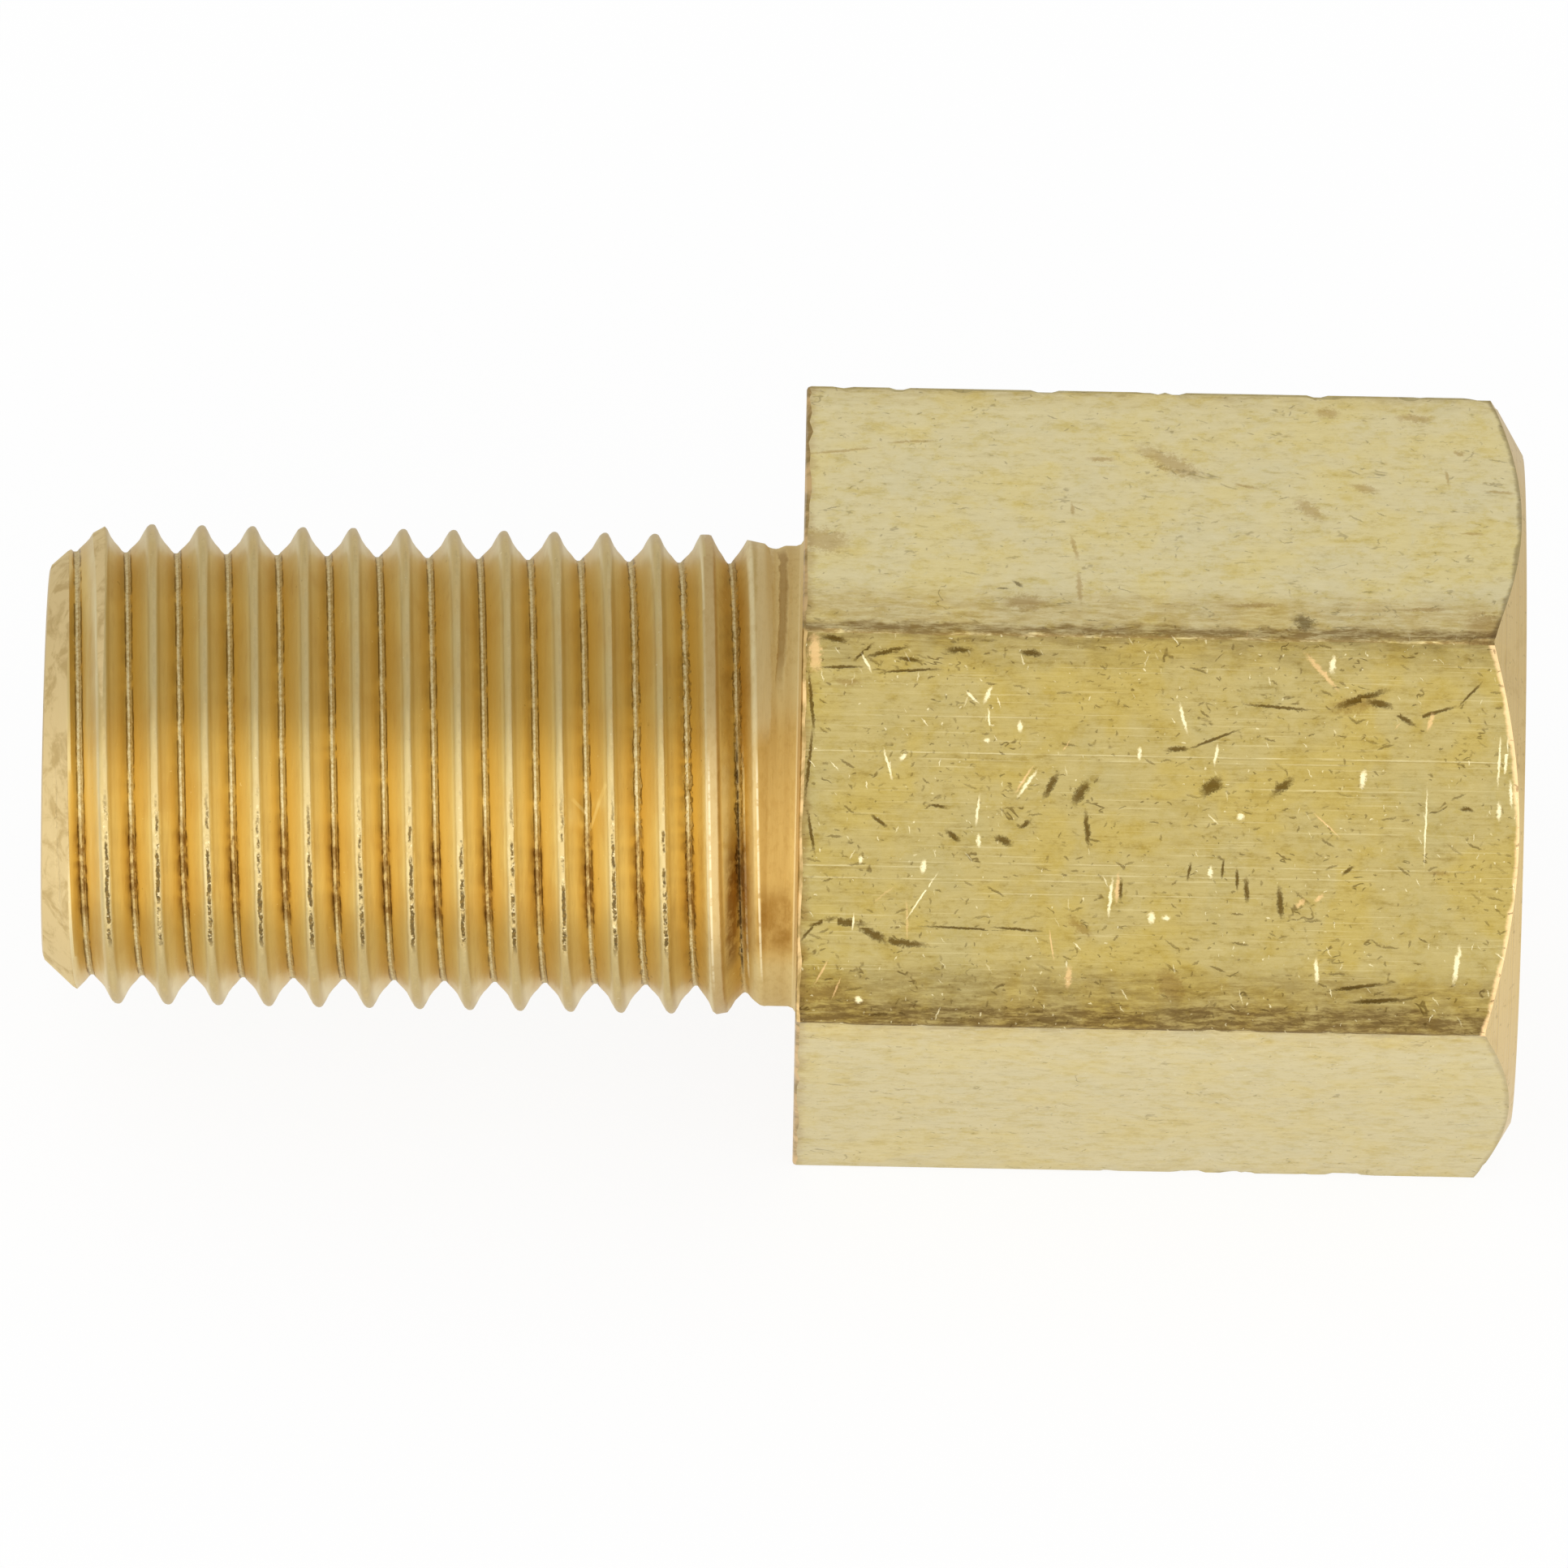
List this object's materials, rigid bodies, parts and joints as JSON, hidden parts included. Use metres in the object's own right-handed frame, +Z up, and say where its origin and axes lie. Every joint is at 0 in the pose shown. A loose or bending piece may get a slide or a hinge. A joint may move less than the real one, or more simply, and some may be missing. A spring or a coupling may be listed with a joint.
{
  "type": "thread adapter",
  "caption": "Brass thread adapter: a stem with a male metric fine thread, a larger wrench hexagon with a tapped bore in its open end, and a passage right through.",
  "frame": {"origin": "on the axis, in the shoulder plane where the stem meets the hexagon", "axes": "+X along the axis, out of the female mouth; the male stem points to -X. +Z is up, square to one pair of hexagon flats, so the part lies on a flat."},
  "size_m": [0.0365, 0.0196, 0.017],
  "materials": {
    "brass": "drawn hexagon flats with handling marks, turned end faces, bright rolled thread"
  },
  "bodies": {
    "root": {"adapter_body": "brass"}
  },
  "joints": []
}
